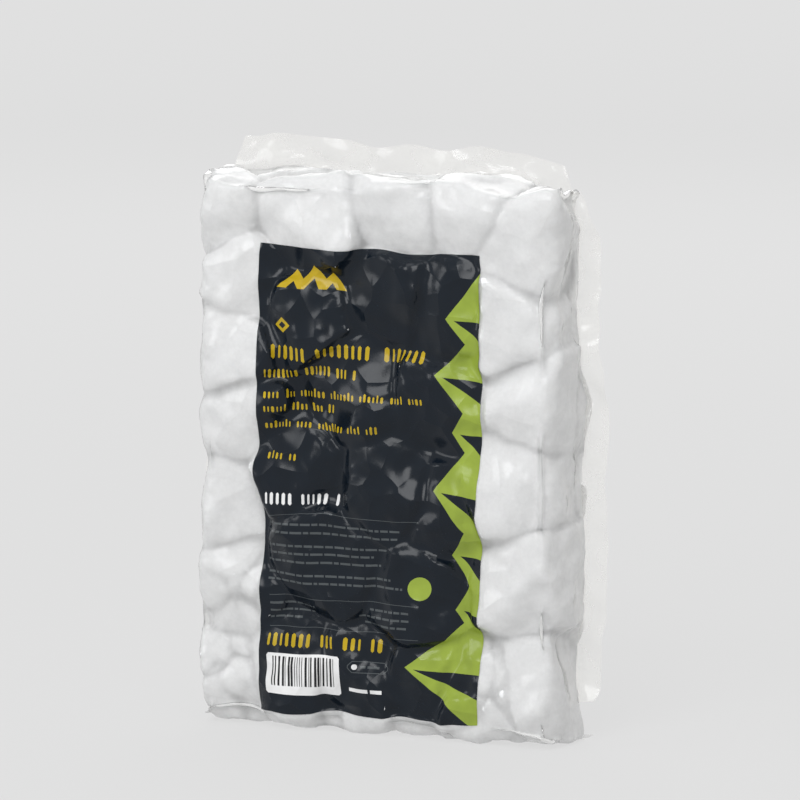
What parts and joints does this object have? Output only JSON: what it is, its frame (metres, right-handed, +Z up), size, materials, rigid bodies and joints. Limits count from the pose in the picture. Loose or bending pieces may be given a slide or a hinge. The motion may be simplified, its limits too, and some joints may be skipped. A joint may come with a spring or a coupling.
{
  "type": "vacuum-sealed pouch of gymnastics chalk",
  "caption": "Clear vacuum-sealed pouch packed with broken lumps of white grip chalk, with a dark printed film label on its front, standing on its folded base.",
  "frame": {"origin": "on the surface the pouch stands on, under the middle of its width and depth", "axes": "+Z up, +X across the labelled front to the right as it is read, -Y out of the labelled front"},
  "size_m": [0.167, 0.0438, 0.2185],
  "materials": {
    "clear_film": "gloss",
    "welded_film": "gloss",
    "printed_film": "gloss",
    "chalk": "matte"
  },
  "bodies": {
    "pouch": {"front_film": "clear_film", "back_film": "clear_film", "bottom_seal": "welded_film", "front_label": "printed_film", "chalk_lump_back_01": "chalk", "chalk_lump_back_02": "chalk", "chalk_lump_back_03": "chalk", "chalk_lump_back_04": "chalk", "chalk_lump_back_05": "chalk", "chalk_lump_back_06": "chalk", "chalk_lump_back_07": "chalk", "chalk_lump_back_08": "chalk", "chalk_lump_back_09": "chalk", "chalk_lump_back_10": "chalk", "chalk_lump_back_11": "chalk", "chalk_lump_back_12": "chalk", "chalk_lump_back_13": "chalk", "chalk_lump_front_01": "chalk", "chalk_lump_front_02": "chalk", "chalk_lump_front_03": "chalk", "chalk_lump_front_04": "chalk", "chalk_lump_front_05": "chalk", "chalk_lump_front_06": "chalk", "chalk_lump_front_07": "chalk", "chalk_lump_front_08": "chalk", "chalk_lump_front_09": "chalk", "chalk_lump_front_11": "chalk", "chalk_lump_front_12": "chalk", "chalk_lump_front_13": "chalk", "chalk_lump_front_14": "chalk", "chalk_lump_front_15": "chalk", "chalk_lump_front_18": "chalk", "chalk_lump_front_19": "chalk", "chalk_lump_front_20": "chalk", "chalk_lump_front_21": "chalk", "chalk_lump_front_22": "chalk", "chalk_lump_front_23": "chalk", "chalk_lump_front_24": "chalk", "chalk_lump_front_25": "chalk", "chalk_lump_front_26": "chalk", "chalk_lump_front_27": "chalk", "chalk_lump_front_28": "chalk", "chalk_lump_front_30": "chalk", "crumbs_bottom": "chalk", "crumbs_left_lower": "chalk", "crumbs_left_upper": "chalk", "crumbs_right": "chalk"},
    "top_margin": {"top_seal": "welded_film"},
    "left_margin": {"left_seal": "welded_film"},
    "right_margin": {"right_seal": "welded_film"}
  },
  "joints": [
    {"name": "top_seal_fold", "type": "hinge", "parent": "pouch", "child": "top_margin", "pos_m": [0, 0.008, 0.2085], "axis": [-1, 0, 0], "range_deg": [-75, 75], "stiffness_Nm_per_rad": 0.0004},
    {"name": "left_seal_fold", "type": "hinge", "parent": "pouch", "child": "left_margin", "pos_m": [-0.0735, 0.008, 0.11], "axis": [0, 0, -1], "range_deg": [-75, 75], "stiffness_Nm_per_rad": 0.0004},
    {"name": "right_seal_fold", "type": "hinge", "parent": "pouch", "child": "right_margin", "pos_m": [0.0735, 0.008, 0.11], "axis": [0, 0, 1], "range_deg": [-75, 75], "stiffness_Nm_per_rad": 0.0004}
  ]
}
